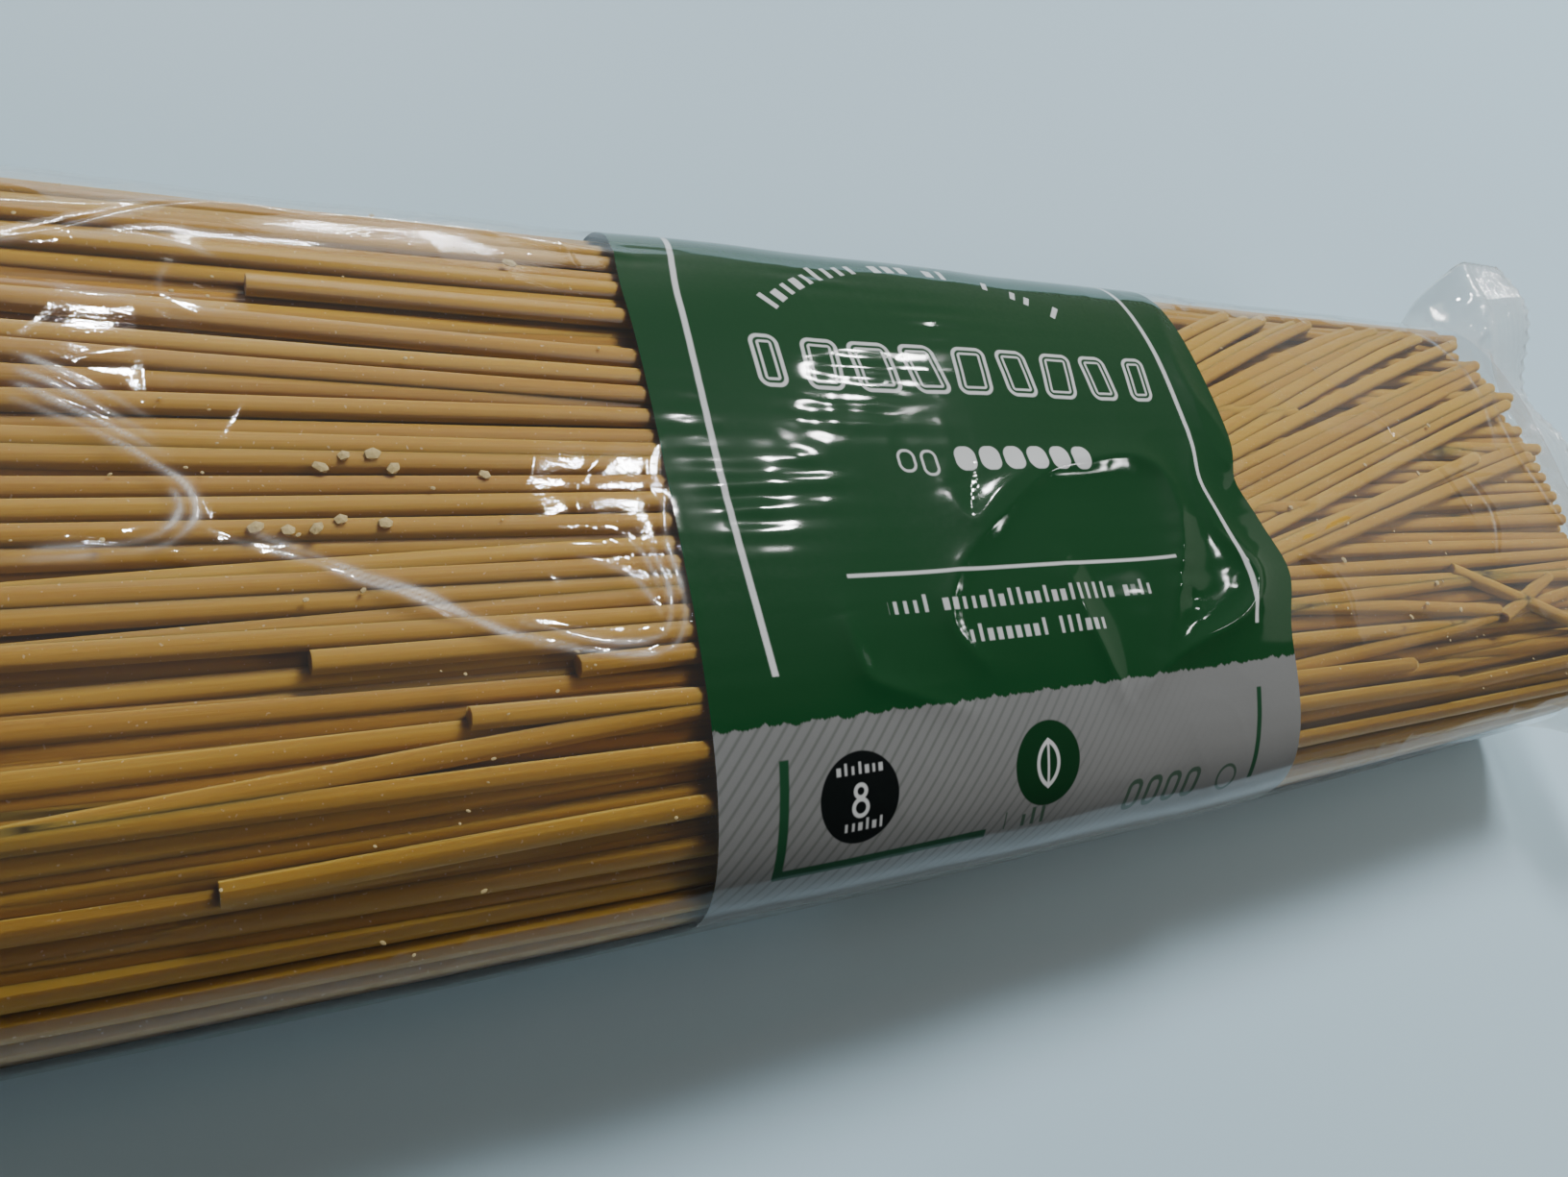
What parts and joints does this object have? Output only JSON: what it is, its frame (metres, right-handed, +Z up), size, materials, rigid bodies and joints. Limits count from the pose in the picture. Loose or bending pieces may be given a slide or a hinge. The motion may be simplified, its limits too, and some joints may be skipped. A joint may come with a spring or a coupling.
{
  "type": "pasta packet",
  "caption": "Sealed clear film packet of straight spaghetti with a printed band, crimped end seals and a lengthwise back seam, lying on its back.",
  "frame": {"origin": "on the resting surface, under the middle of the packet's box", "axes": "+X along the strands, +Y across the packet towards the top of its front print, +Z up through the front"},
  "size_m": [0.3, 0.094, 0.031],
  "materials": {
    "film": "thin clear glossy film, softly wrinkled",
    "print": "deep green and white ink under glossy film",
    "pasta": "dry durum wheat sticks, amber, faintly glossy"
  },
  "bodies": {
    "root": {"packet": "film"}
  },
  "joints": []
}
